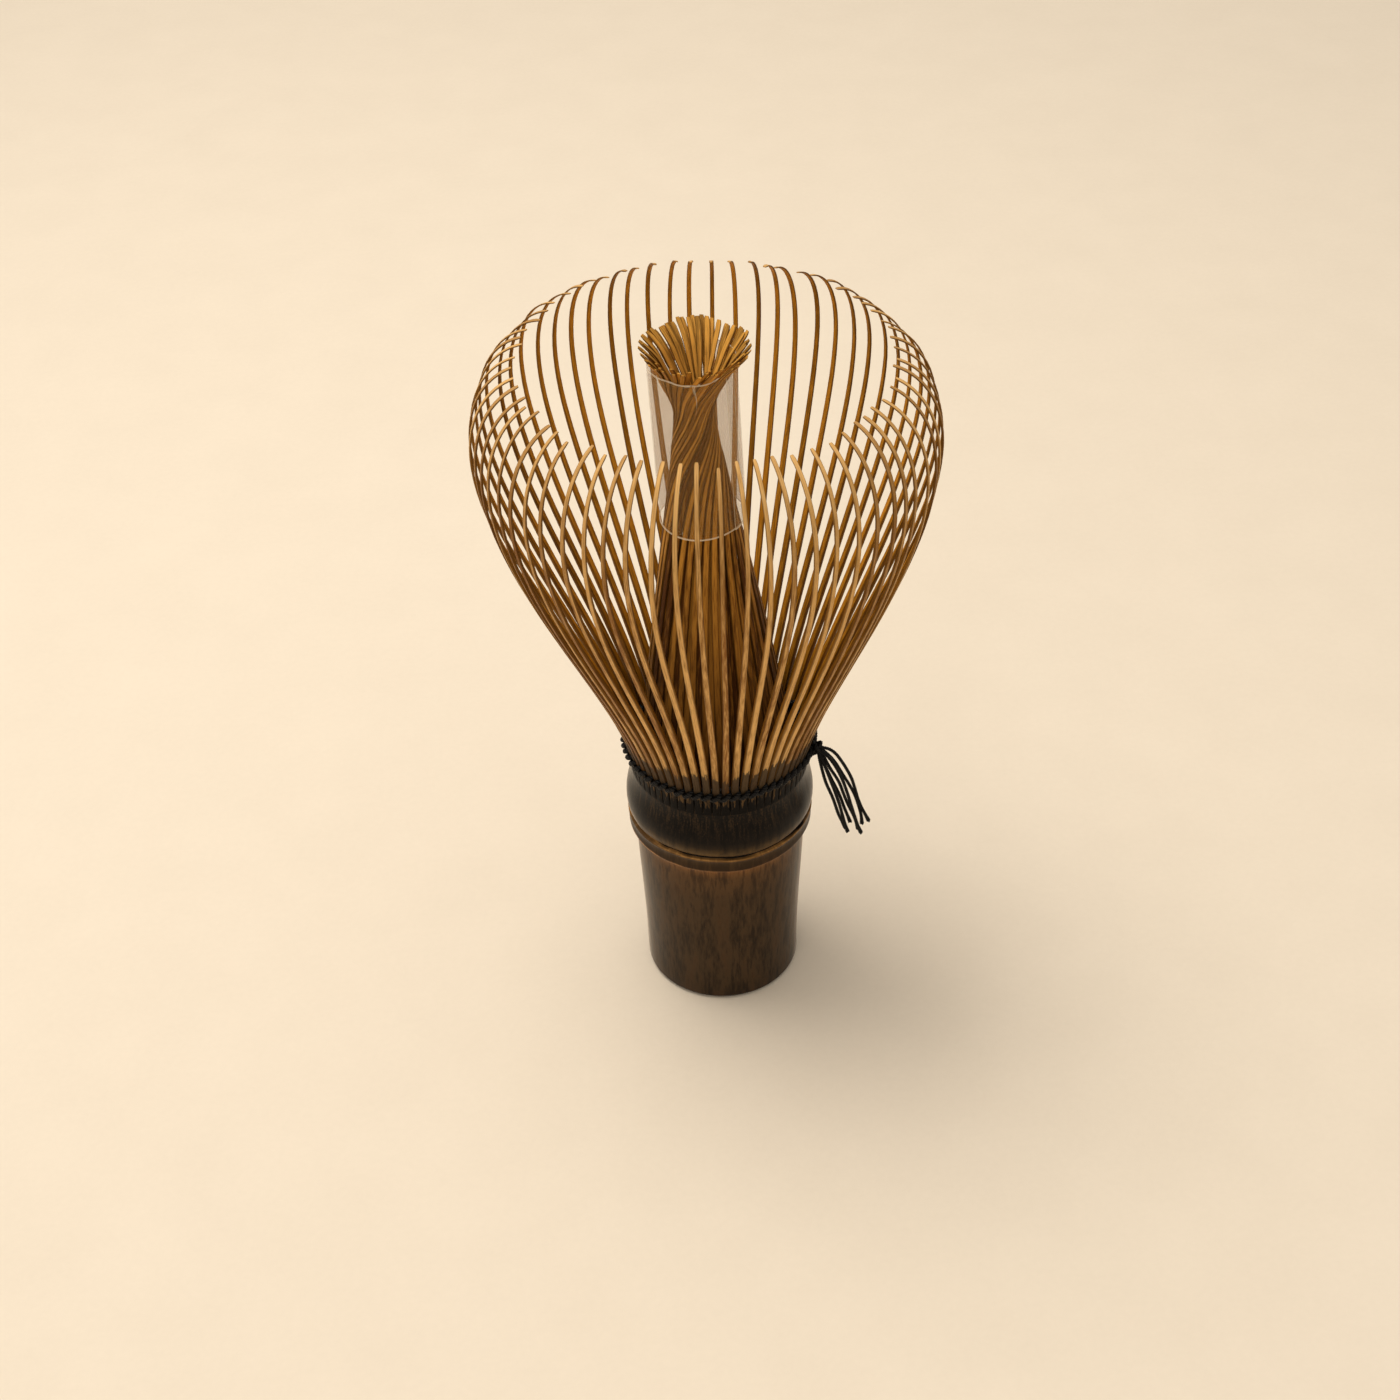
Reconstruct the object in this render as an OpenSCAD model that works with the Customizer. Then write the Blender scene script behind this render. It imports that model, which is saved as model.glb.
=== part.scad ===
// Bamboo tea whisk, standing on the foot of its handle with the tines up and the clear sleeve on.
// Millimetres. The origin is the centre of the foot, +Z is up, and the lacing's knot is towards +X.

/* [Handle] */
// Radius of the handle at its foot
foot_r = 12; // [11:0.5:15]
// Radius of the handle just under its joint
stem_r = 12.7; // [12:0.1:15.5]
// Radius over the ridge of the bamboo's joint
ridge_r = 14.2; // [13.5:0.1:17]
// Radius of the waist, where the slits between the tines start
waist_r = 13.5; // [13:0.1:16.2]
// Height of the ridge above the foot
ridge_z = 32.4; // [26:0.2:40]
// Length of the collar from the ridge up to the slits
collar_h = 8.6; // [7:0.2:14]
// Radius of the natural hollow in the foot
hollow_r = 6.5; // [4:0.25:8]
// Thickness of the culm's wall above the joint
culm_t = 3.3; // [2.9:0.1:4.2]
// Thickness of the bamboo's natural wall at the joint
septum_t = 2.4; // [1.5:0.1:4]
// Radius that rounds the edge of the foot
foot_round = 0.9; // [0.4:0.1:1.6]

/* [Outer tines] */
// Number of outer tines, and of inner ones
tine_count = 64; // [48:4:68]
// Radius of the bulb at its widest
belly_r = 32.3; // [26:0.1:40]
// Height of the widest place above the slits
belly_h = 58.4; // [46:0.2:72]
// Radius of the ring of tips
tip_r = 24.9; // [19:0.1:25.8]
// Height of the tips above the widest place
tip_h = 12.6; // [9:0.1:16]
// Thickness of an outer tine at its foot
outer_t = 0.95; // [0.7:0.05:1.2]
// Thickness of an outer tine at its tip
outer_tip_t = 0.45; // [0.3:0.05:0.6]
// Width of an outer tine at its tip
outer_tip_w = 0.52; // [0.3:0.02:0.7]
// Sideways drift of the bulb, from the widest place up
bulb_drift = 0.9; // [0:0.1:2]

/* [Inner tines] */
// Thickness of an inner tine at its foot
inner_t = 0.8; // [0.5:0.05:0.85]
// Width of an inner tine at its foot
inner_w = 0.75; // [0.5:0.05:0.85]
// Thickness and width of an inner tine in the neck
inner_neck_w = 0.32; // [0.2:0.02:0.34]
// Width of an inner tine's cut tip
inner_tip_w = 0.56; // [0.3:0.02:0.6]
// Radius of the neck, at the middle of the outermost tines
neck_r = 2.3; // [2.2:0.1:3]
// Height of the neck above the slits
neck_h = 62.5; // [55:0.5:75]
// Radius of the flare's tips, at the middle of the outermost tines
flare_r = 7.4; // [6.5:0.1:9]
// Height of the flare's tips above the neck
flare_h = 10.1; // [9:0.1:14]
// Turn of the bundle, from far below the neck to far above it
bundle_turn = 190; // [0:5:240]
// Lean of the bundle and the sleeve
bundle_lean = 2.3; // [0:0.1:3]

/* [Lacing] */
// Thickness of each strand of the lacing
strand_d = 0.38; // [0.3:0.02:0.46]
// Height of the lacing above the slits
lacing_h = 4.4; // [3:0.1:6]
// Radius of the knot
knot_r = 0.9; // [0.85:0.05:1.1]
// Thickness of a thread tail
tail_d = 0.42; // [0.3:0.01:0.46]

/* [Sleeve] */
// Room between the bundle and the sleeve's bore, at its lower edge
sleeve_room = 0.5; // [0.4:0.02:1.6]
// Thickness of the sleeve's film
film_t = 0.25; // [0.15:0.05:0.35]
// Length of the sleeve
sleeve_len = 25.4; // [15:0.2:26]
// Drop from the flare's tips to the sleeve's upper rim
rim_drop = 2.2; // [1.6:0.1:5]

/* [Hidden] */
// Room between a strand and the tine that it passes
strand_gap = 0.03;
// How far a thread tail starts inside the knot that holds it
tail_grip = 0.1;
// Height of the band between the joint's lower edge and its ridge
band_h = 2.4;
// Depth and height of the groove over the ridge
groove_depth = 0.5;
groove_h = 0.6;
// Height of the shoulder's fullest place above the ridge
shoulder_h = 2.1;
// Radius that blends the stem into the joint
fillet_r = 1.3;
// How far each inner layer's neck and tips stand inside the layer before, and its tips above it
layer_step_neck = 0.5;
layer_step_tip = 1.15;
layer_rise_tip = 0.35;
// Height over which the bundle makes half of its turn
turn_span = 12;
// Height of the middle of the turn, below the neck
turn_below_neck = 2.5;
// Ledge inside the ring of inner feet
foot_ledge = 0.5;
// Facets of a round face
$fn = 96;

slit_z = ridge_z + collar_h;
lacing_z = slit_z + lacing_h;
pitch_angle = 360 / tine_count;

// The culm's hollow above its joint, and the ring of inner feet at the middle of the tines
throat_r = waist_r - culm_t;
inner_foot_r = throat_r + foot_ledge + inner_t / 2;

// The outer tines' outward face: a rise from the waist to the belly, then a hook over to the tip.
// Each point is [radius, height].
rise = [
    [waist_r, slit_z],
    [waist_r, slit_z + 12.6],
    [belly_r, slit_z + belly_h - 17.3],
    [belly_r, slit_z + belly_h]
];
hook = [
    rise[3],
    [belly_r, rise[3][1] + 9.2],
    [tip_r + 2.5, rise[3][1] + tip_h - 0.4],
    [tip_r, rise[3][1] + tip_h]
];
RISE_STEPS = [0, 0.14, 0.3, 0.44, 0.58, 0.72, 0.86];
HOOK_STEPS = [0, 0.25, 0.45, 0.65, 0.82, 1];
outer_path = concat(bezier_line(rise, RISE_STEPS), bezier_line(hook, HOOK_STEPS));
outer_ways = concat(bezier_ways(rise, RISE_STEPS), bezier_ways(hook, HOOK_STEPS));

// Radius of the outward faces where the lacing crosses them, and the tines' width there:
// a strand and its room pass between two tines, at their inward faces.
lacing_face_r = radius_at(outer_path, lacing_z + strand_d);
outer_w = 2 * PI * (waist_r - outer_t) / tine_count - strand_d - 2 * strand_gap;

// Middle line of an inner tine, by layer: foot to neck, then neck to tip.
function gather(layer) = [
    [inner_foot_r, slit_z],
    [inner_foot_r, slit_z + 13],
    [neck_r - layer * layer_step_neck + 0.9, slit_z + neck_h - 10.5],
    [neck_r - layer * layer_step_neck, slit_z + neck_h]
];
function flare(layer) = [
    gather(layer)[3],
    [neck_r - layer * layer_step_neck, slit_z + neck_h + 4],
    flare_tip(layer) - [3.8 - layer * 0.9, 2.3],
    flare_tip(layer)
];
function flare_tip(layer) =
    [flare_r - layer * layer_step_tip, slit_z + neck_h + flare_h + layer * layer_rise_tip];
GATHER_STEPS = [0, 0.3, 0.55, 0.72, 0.84, 0.93];
FLARE_STEPS = [0, 0.22, 0.42, 0.6, 0.8, 1];

function middle_line(layer) =
    concat(bezier_line(gather(layer), GATHER_STEPS), bezier_line(flare(layer), FLARE_STEPS));
function middle_ways(layer) =
    concat(bezier_ways(gather(layer), GATHER_STEPS), bezier_ways(flare(layer), FLARE_STEPS));

// The layer of each inner tine: half are in the outermost layer, a quarter in each of the others.
function layer_of(i) = i % 2 == 0 ? 0 : i % 4 == 1 ? 1 : 2;

// The sleeve stands along the bundle's own axis, which leans from the slits up. The bundle's lower
// part fills it at its lower edge, sleeve_h above the slits.
lean_slope = tan(bundle_lean);
sleeve_h = neck_h + flare_h - rim_drop - sleeve_len;
sleeve_bore_r = radius_at(middle_line(0), slit_z + sleeve_h) + inner_t / 2 + sleeve_room;

// Thread tails: control points of one curve each, from the knot to the cut end.
// They count from the knot's centre, with the knot at the side it is turned from.
TAILS = [
    [[0.6, 0.2, 0.77], [4.2, 0.6, 1.1], [4.8, 1.0, -6.0], [7.9, 1.3, -14.0]],
    [[0.83, -0.3, 0.5], [4.0, -0.8, -1.2], [5.5, -1.1, -7.4], [7.3, -0.9, -14.6]],
    [[0.8, 0.5, 0.2], [2.6, 1.1, -1.8], [5.4, 1.7, -7.6], [6.8, 1.7, -14.8]],
    [[1, 0, 0], [2.1, 0.2, -3.1], [4.6, 0.3, -8.5], [6.5, 0.4, -15.0]],
    [[0.83, -0.5, -0.1], [2.3, -1.3, -3.8], [4.3, -2.0, -9.2], [5.6, -1.8, -13.8]],
    [[0.6, 0.3, -0.73], [1.1, 0.8, -3.8], [2.9, 1.1, -8.4], [5.3, 1.0, -14.3]],
    [[0.6, -0.3, -0.73], [0.9, -0.5, -3.7], [2.5, -0.7, -8.7], [4.9, -0.6, -14.2]]
];
TAIL_STEPS = 16;
TAIL_SIDES = 8;
STRAND_SIDES = 6;
// The knot is tied round both strands where they cross in a gap, and rests against the tines.
knot_turn = -3 * pitch_angle;
knot_place = [lacing_face_r + strand_gap + knot_r, 0, lacing_z + 0.2];

// ---- curves ----

function unit(v) = v / norm(v);

function bezier(p, t) =
    pow(1 - t, 3) * p[0] + 3 * pow(1 - t, 2) * t * p[1] + 3 * (1 - t) * t * t * p[2] + t * t * t * p[3];

function bezier_way(p, t) =
    unit(pow(1 - t, 2) * (p[1] - p[0]) + 2 * (1 - t) * t * (p[2] - p[1]) + t * t * (p[3] - p[2]));

function bezier_line(p, steps) = [for (t = steps) bezier(p, t)];

function bezier_ways(p, steps) = [for (t = steps) bezier_way(p, t)];

function path_length(path, i = 1) =
    i >= len(path) ? 0 : norm(path[i] - path[i - 1]) + path_length(path, i + 1);

// Radius of a path of [radius, height] points at a height
function radius_at(path, z) = lookup(z, [for (p = path) [p[1], p[0]]]);

// Points on an arc, from angle a to angle b
function arc(centre, r, a, b, steps = 6) =
    [for (i = [0:steps]) centre + r * [cos(a + (b - a) * i / steps), sin(a + (b - a) * i / steps)]];

// ---- swept solids ----

// Side faces of a tube whose rings start at point number first
function wall_faces(first, rings, sides, closed = false) = [
    for (j = [0:rings - (closed ? 1 : 2)]) for (k = [0:sides - 1])
        let (
            a = first + j * sides + k,
            b = first + j * sides + (k + 1) % sides,
            c = first + ((j + 1) % rings) * sides + (k + 1) % sides,
            d = first + ((j + 1) % rings) * sides + k
        )
        each [[a, b, c], [a, c, d]]
];

function cap_faces(first, rings, sides) = [
    [for (k = [sides - 1:-1:0]) first + k],
    [for (k = [0:sides - 1]) first + (rings - 1) * sides + k]
];

// The four corners of a tine's section. place is the [radius, height] of its face or middle line,
// way its direction, inner and outer how far the section reaches across that line.
function blade_ring(place, way, inner, outer, w, turn, shift) = [
    for (corner = [[outer, 1], [outer, -1], [-inner, -1], [-inner, 1]])
        let (
            r = place[0] + corner[0] * way[1],
            side = corner[1] * w / 2,
            z = place[1] - corner[0] * way[0]
        )
        [r * cos(turn) - side * sin(turn) + shift, r * sin(turn) + side * cos(turn), z]
];

// A round tube's ring, with its first radius stretched at a corner so that the tube keeps its girth
function tube_ring(place, way, up, r, sides, stretch = 1) =
    let (across = unit(cross(way, up)), over = cross(across, way))
    [for (k = [0:sides - 1])
        place + r * stretch * cos(360 * k / sides) * across + r * sin(360 * k / sides) * over];

// ---- handle ----

handle_outline = concat(
    [[0, 0]],
    arc([foot_r - foot_round, foot_round], foot_round, -90, 0),
    [[(foot_r + stem_r) / 2 - 0.15, (ridge_z - band_h) / 2]],
    arc([stem_r + fillet_r, ridge_z - band_h - fillet_r], fillet_r, 180, 100),
    [
        [ridge_r - 0.15, ridge_z - band_h + 0.1],
        [ridge_r - 0.15, ridge_z - 0.4],
        [ridge_r, ridge_z - 0.2],
        [ridge_r, ridge_z],
        [ridge_r - groove_depth, ridge_z + groove_h / 2],
        [ridge_r - groove_depth, ridge_z + groove_h],
        [ridge_r + 0.05, ridge_z + shoulder_h - 0.4],
        [ridge_r + 0.1, ridge_z + shoulder_h],
        [ridge_r - 0.05, ridge_z + shoulder_h + 1.4],
        [waist_r + 0.1, slit_z - 1.6],
        [waist_r, slit_z],
        [0, slit_z]
    ]
);

module handle() {
    septum_z = ridge_z - band_h;
    color("#33251b")
    difference() {
        rotate_extrude() polygon(handle_outline);
        translate([0, 0, -1]) cylinder(h = septum_z + 1, r = hollow_r);
        translate([0, 0, septum_z + septum_t]) cylinder(h = slit_z - septum_z, r = throat_r);
    }
}

// ---- tines ----

// Share of the way up a path at each of its points
function shares(path) = [
    for (i = [0:len(path) - 1])
        path_length([for (k = [0:i]) path[k]]) / path_length(path)
];

function blend(a, b, share) = a + (b - a) * share;

function smooth(share) = let (s = min(max(share, 0), 1)) s * s * (3 - 2 * s);

module outer_tines() {
    up = shares(outer_path);
    rings = len(outer_path);
    points = [
        for (i = [0:tine_count - 1]) for (j = [0:rings - 1])
            each blade_ring(
                outer_path[j], outer_ways[j], blend(outer_t, outer_tip_t, up[j]), 0,
                blend(outer_w, outer_tip_w, up[j]), (i + 0.5) * pitch_angle,
                -bulb_drift * smooth((outer_path[j][1] - lacing_z) / (belly_h - lacing_h))
            )
    ];
    faces = [
        for (i = [0:tine_count - 1])
            each concat(wall_faces(i * rings * 4, rings, 4), cap_faces(i * rings * 4, rings, 4))
    ];
    color("#a8743a") polyhedron(points, faces);
}

// Turn of the bundle at a height: most of it is in the neck
function turn_at(z) =
    bundle_turn / 180 * atan((z - slit_z - neck_h + turn_below_neck) / (turn_span / 2));

module inner_tines() {
    rings = len(GATHER_STEPS) + len(FLARE_STEPS);
    points = [
        for (i = [0:tine_count - 1])
            let (
                path = middle_line(layer_of(i)),
                ways = middle_ways(layer_of(i))
            )
            for (j = [0:rings - 1])
                let (
                    below = pow(min((path[j][1] - slit_z) / neck_h, 1), 0.6),
                    above = max((path[j][1] - slit_z - neck_h) / flare_h, 0),
                    t = blend(inner_t, inner_neck_w, below) / 2,
                    w = above > 0 ? blend(inner_neck_w, inner_tip_w, above)
                        : blend(inner_w, inner_neck_w, below)
                )
                each blade_ring(
                    path[j], ways[j], t, t, w,
                    i * pitch_angle + turn_at(path[j][1]), -lean_slope * (path[j][1] - slit_z)
                )
    ];
    faces = [
        for (i = [0:tine_count - 1])
            each concat(wall_faces(i * rings * 4, rings, 4), cap_faces(i * rings * 4, rings, 4))
    ];
    color("#8f6128") polyhedron(points, faces);
}

// ---- lacing ----

// A strand goes outside one tine and inside the next, and crosses between them. Its two points in
// each gap are at the outer and the inner side. The strands rise and fall in turn to pass each other.
strand_out_r = lacing_face_r + strand_gap + strand_d / 2;
strand_in_r = lacing_face_r - outer_t - 3 * strand_gap - strand_d / 2;

function strand_route(odd) = [
    for (i = [0:tine_count - 1])
        let (
            outward = (i + odd) % 2 == 0,
            z = lacing_z + (outward ? 1 : -1) * (strand_d / 2 + strand_gap),
            turn = i * pitch_angle,
            before = outward ? strand_out_r : strand_in_r,
            after = outward ? strand_in_r : strand_out_r
        )
        each [[before * cos(turn), before * sin(turn), z], [after * cos(turn), after * sin(turn), z]]
];

module strand(odd) {
    route = strand_route(odd);
    n = len(route);
    points = [
        for (i = [0:n - 1])
            let (
                came = unit(route[i] - route[(i + n - 1) % n]),
                goes = unit(route[(i + 1) % n] - route[i])
            )
            each tube_ring(
                route[i], unit(came + goes), [0, 0, 1], strand_d / 2, STRAND_SIDES,
                1 / sqrt((1 + came * goes) / 2)
            )
    ];
    color("#17130f") polyhedron(points, wall_faces(0, n, STRAND_SIDES, closed = true));
}

module lacing_strand_a() {
    strand(0);
}

module lacing_strand_b() {
    strand(1);
}

module lacing_knot() {
    color("#17130f") rotate([0, 0, knot_turn]) translate(knot_place) sphere(r = knot_r, $fn = 48);
}

// One thread tail, which starts inside the knot that grips it
module thread_tail(route) {
    start = unit(route[0]) * (knot_r - tail_grip);
    curve = [start, route[1], route[2], route[3]];
    points = [
        for (i = [0:TAIL_STEPS])
            let (t = i / TAIL_STEPS)
            each tube_ring(bezier(curve, t), bezier_way(curve, t), [0, 1, 0], tail_d / 2, TAIL_SIDES)
    ];
    faces = concat(
        wall_faces(0, TAIL_STEPS + 1, TAIL_SIDES), cap_faces(0, TAIL_STEPS + 1, TAIL_SIDES)
    );
    color("#17130f") rotate([0, 0, knot_turn]) translate(knot_place) polyhedron(points, faces);
}

// ---- sleeve ----

module sleeve() {
    color("#e8dfd0", 0.5)
    translate([0, 0, slit_z]) rotate([0, -bundle_lean, 0]) translate([0, 0, sleeve_h])
    difference() {
        cylinder(h = sleeve_len, r = sleeve_bore_r + film_t);
        translate([0, 0, -1]) cylinder(h = sleeve_len + 2, r = sleeve_bore_r);
    }
}

handle();
outer_tines();
inner_tines();
lacing_strand_a();
lacing_strand_b();
lacing_knot();
thread_tail(TAILS[0]);  // thread_tail_1
thread_tail(TAILS[1]);  // thread_tail_2
thread_tail(TAILS[2]);  // thread_tail_3
thread_tail(TAILS[3]);  // thread_tail_4
thread_tail(TAILS[4]);  // thread_tail_5
thread_tail(TAILS[5]);  // thread_tail_6
thread_tail(TAILS[6]);  // thread_tail_7
sleeve();
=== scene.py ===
# %% [markdown]
# # A bamboo tea whisk
# A tea whisk is cut from one short length of bamboo. Below the bamboo's joint it stays whole, and is the
# handle. Above the joint it is split into a ring of outer tines and a ring of inner tines. A black thread
# is twined round the feet of the outer tines and holds them apart. A new whisk has a clear sleeve over the
# inner tines, which keeps them together until it is first used.
#
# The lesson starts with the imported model. It is the frame: each new piece is made where the frame says, in
# metres, and then stands for a plain solid of the frame. Small sizes are easier to read in millimetres, so
# they are written as a number times MM.

# %% Load the frame
import math
import random

import bpy
from mathutils import Matrix, Vector, noise


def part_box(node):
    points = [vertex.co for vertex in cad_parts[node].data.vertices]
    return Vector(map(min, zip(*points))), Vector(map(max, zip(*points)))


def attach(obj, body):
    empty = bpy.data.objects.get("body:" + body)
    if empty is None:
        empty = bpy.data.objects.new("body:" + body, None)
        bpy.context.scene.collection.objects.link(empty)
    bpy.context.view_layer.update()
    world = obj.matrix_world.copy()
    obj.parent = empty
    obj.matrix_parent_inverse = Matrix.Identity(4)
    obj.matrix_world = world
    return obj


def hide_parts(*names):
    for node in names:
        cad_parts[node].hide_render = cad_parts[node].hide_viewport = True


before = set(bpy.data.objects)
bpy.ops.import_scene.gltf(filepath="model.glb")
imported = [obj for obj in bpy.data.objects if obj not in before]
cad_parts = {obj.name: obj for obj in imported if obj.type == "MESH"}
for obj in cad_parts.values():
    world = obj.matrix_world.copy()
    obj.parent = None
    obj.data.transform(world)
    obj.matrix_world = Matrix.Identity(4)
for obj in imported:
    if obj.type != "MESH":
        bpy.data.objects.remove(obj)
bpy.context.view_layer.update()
MM = 0.001

slit_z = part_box("handle")[1][2]
outer_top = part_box("outer_tines")[1][2]
inner_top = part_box("inner_tines")[1][2]
print("slits start at", round(slit_z / MM, 1), "mm")
print("outer tips are at", round(outer_top / MM, 1), "mm, inner tips at", round(inner_top / MM, 1), "mm")

# %% [markdown]
# ## The camera
# The camera looks down on the whisk from the front at 40 degrees, from about 0.39 m away. It is rolled by
# a degree and a half, as a camera held by hand is.

# %% Camera
CAMERA_PLACE = Vector((-2.7, -274.5, 282.5)) * MM
LOOK_DOWN = math.radians(40)
ROLL = math.radians(-1.5)
LENS = 61.71

camera_data = bpy.data.cameras.new("camera")
camera_data.lens = LENS
camera_data.sensor_width = 36
camera_data.clip_start = 0.01
camera = bpy.data.objects.new("camera", camera_data)
camera.matrix_world = (
    Matrix.Translation(CAMERA_PLACE)
    @ Matrix.Rotation(math.pi / 2 - LOOK_DOWN, 4, "X")
    @ Matrix.Rotation(ROLL, 4, "Z")
)
bpy.context.scene.collection.objects.link(camera)
bpy.context.scene.camera = camera
print("the camera is", round(CAMERA_PLACE.length, 2), "m from the foot of the whisk")

# %% [markdown]
# ## Nodes written as sums
# Geometry and materials are both trees of nodes. A tree is easier to read when its maths looks like maths,
# so one small class wraps a socket and gives it +, -, * and /. One method makes every other kind of node:
# it sets the node's own settings first, and then its sockets, by name or by place.

# %% A socket that can be used in sums
class Sum:
    """A socket of a node tree, for ordinary sums."""

    def __init__(self, tree, socket):
        self.tree = tree
        self.socket = socket

    def __add__(self, other):
        return self.tree.math("ADD", self, other)

    def __radd__(self, other):
        return self.tree.math("ADD", other, self)

    def __sub__(self, other):
        return self.tree.math("SUBTRACT", self, other)

    def __rsub__(self, other):
        return self.tree.math("SUBTRACT", other, self)

    def __mul__(self, other):
        return self.tree.math("MULTIPLY", self, other)

    def __rmul__(self, other):
        return self.tree.math("MULTIPLY", other, self)

    def __truediv__(self, other):
        return self.tree.math("DIVIDE", self, other)

    def __pow__(self, other):
        return self.tree.math("POWER", self, other)

    def sin(self):
        return self.tree.math("SINE", self)

    def cos(self):
        return self.tree.math("COSINE", self)


class Node:
    """A node whose outputs are sockets for sums: node["Position"] or node[0]."""

    def __init__(self, tree, node):
        self.tree = tree
        self.node = node

    def __getitem__(self, key):
        return Sum(self.tree, find_socket(self.node.outputs, key))


def find_socket(sockets, key):
    if isinstance(key, int):
        return [s for s in sockets if s.enabled][key]
    return next(s for s in sockets if s.enabled and s.name == key)


# %% A node tree that is filled by one method
class Tree:
    """A node tree, filled by one method."""

    def __init__(self, tree):
        self.tree = tree

    def add(self, kind, settings=None, values=()):
        """A node of that kind, with its own settings and then its sockets, by name or by place."""
        node = self.tree.nodes.new(kind)
        for key, value in (settings or {}).items():
            if key == "stops":
                self.fill_ramp(node.color_ramp, value)
            else:
                setattr(node, key, value)
        pairs = values.items() if isinstance(values, dict) else enumerate(values)
        for key, value in pairs:
            self.plug(value, find_socket(node.inputs, key))
        return Node(self, node)

    def plug(self, value, socket):
        if isinstance(value, Node):
            value = value[0]
        if isinstance(value, Sum):
            self.tree.links.new(value.socket, socket)
        else:
            socket.default_value = value

    def fill_ramp(self, ramp, stops):
        while len(ramp.elements) > 1:
            ramp.elements.remove(ramp.elements[-1])
        ramp.elements[0].position, ramp.elements[0].color = stops[0][0], (*stops[0][1], 1)
        for place, colour in stops[1:]:
            ramp.elements.new(place).color = (*colour, 1)

    def math(self, operation, *values):
        return self.add("ShaderNodeMath", {"operation": operation}, values)[0]

    def vector(self, x, y, z):
        return self.add("ShaderNodeCombineXYZ", {}, (x, y, z))[0]

    def parts(self, vector):
        split = self.add("ShaderNodeSeparateXYZ", {}, (vector,))
        return split[0], split[1], split[2]

    def mix_number(self, a, b, share):
        return a + (b - a) * share

    def rise(self, value, low, high):
        """0 below low, 1 above high, and smooth between them."""
        return self.add(
            "ShaderNodeMapRange",
            {"interpolation_type": "SMOOTHSTEP"},
            {"Value": value, "From Min": low, "From Max": high},
        )[0]


# %% [markdown]
# ## Geometry trees
# Tines and threads repeat one shape, so Geometry Nodes make them. Each tree takes named sizes as inputs.
# A helper lays a tree on a mesh that holds only guide lines, sets its inputs, and keeps the result as a
# plain mesh, because nothing later should depend on a live modifier.

# %% Helpers for geometry trees
class GeometryTree(Tree):
    """A geometry tree whose inputs are named sizes."""

    KINDS = {int: "NodeSocketInt", float: "NodeSocketFloat", bpy.types.Material: "NodeSocketMaterial"}

    def __init__(self, name, sizes):
        super().__init__(bpy.data.node_groups.new(name, "GeometryNodeTree"))
        face = self.tree.interface
        face.new_socket("Geometry", in_out="OUTPUT", socket_type="NodeSocketGeometry")
        face.new_socket("Guide", in_out="INPUT", socket_type="NodeSocketGeometry")
        face.new_socket("Material", in_out="INPUT", socket_type="NodeSocketMaterial")
        for label, default in sizes.items():
            socket = face.new_socket(label, in_out="INPUT", socket_type=self.KINDS[type(default)])
            socket.default_value = default
        self.start = Node(self, self.tree.nodes.new("NodeGroupInput"))

    def __getitem__(self, label):
        return self.start[label]

    def attribute(self, name):
        return self.add("GeometryNodeInputNamedAttribute", {"data_type": "FLOAT"}, {"Name": name})[0]

    def store(self, geometry, name, value, domain="POINT"):
        return self.add(
            "GeometryNodeStoreNamedAttribute",
            {"data_type": "FLOAT", "domain": domain},
            {"Geometry": geometry, "Name": name, "Value": value},
        )[0]

    def random(self, item, seed):
        """A number between -1 and 1 that depends only on the item and the seed."""
        values = {"Min": -1.0, "Max": 1.0, "ID": item, "Seed": seed}
        return self.add("FunctionNodeRandomValue", {"data_type": "FLOAT"}, values)[0]

    def finish(self, geometry):
        real = self.add("GeometryNodeRealizeInstances", {}, {"Geometry": geometry})
        finished = self.add("GeometryNodeSetMaterial", {}, {"Geometry": real, "Material": self["Material"]})
        end = self.tree.nodes.new("NodeGroupOutput")
        self.plug(finished, end.inputs[0])


def guide_mesh(name, lines, closed=False):
    """A mesh of lines only, one for each list of points."""
    points, edges = [], []
    for line in lines:
        first = len(points)
        points += [tuple(p) for p in line]
        edges += [(first + i, first + i + 1) for i in range(len(line) - 1)]
        if closed:
            edges.append((first + len(line) - 1, first))
    mesh = bpy.data.meshes.new(name)
    mesh.from_pydata(points, edges, [])
    return mesh


def applied(piece):
    """The piece's final mesh, with its modifiers worked out and taken off."""
    bpy.context.view_layer.update()
    mesh = bpy.data.meshes.new_from_object(piece.evaluated_get(bpy.context.evaluated_depsgraph_get()))
    piece.modifiers.clear()
    return mesh


def triangles(piece):
    return sum(len(polygon.vertices) - 2 for polygon in piece.data.polygons)


def grow(name, tree, guides, material, sizes):
    """Runs a geometry tree on guide lines and keeps the result as a plain mesh object."""
    piece = bpy.data.objects.new(name, guides)
    bpy.context.scene.collection.objects.link(piece)
    modifier = piece.modifiers.new(name, "NODES")
    modifier.node_group = tree.tree
    identifiers = {s.name: s.identifier for s in tree.tree.interface.items_tree if s.in_out == "INPUT"}
    for label, value in {"Material": material, **sizes}.items():
        modifier[identifiers[label]] = value
    piece.data = applied(piece)
    piece.data.name = name
    print(name, "has", triangles(piece), "triangles")
    return piece


# %% [markdown]
# ## Finishes
# Every finish is one Principled shader with patterns worked out from Object coordinates, or from values
# that the geometry stores on itself, such as how far along its tine a point is. A value that is the same
# all over goes on the shader's own socket.

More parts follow.
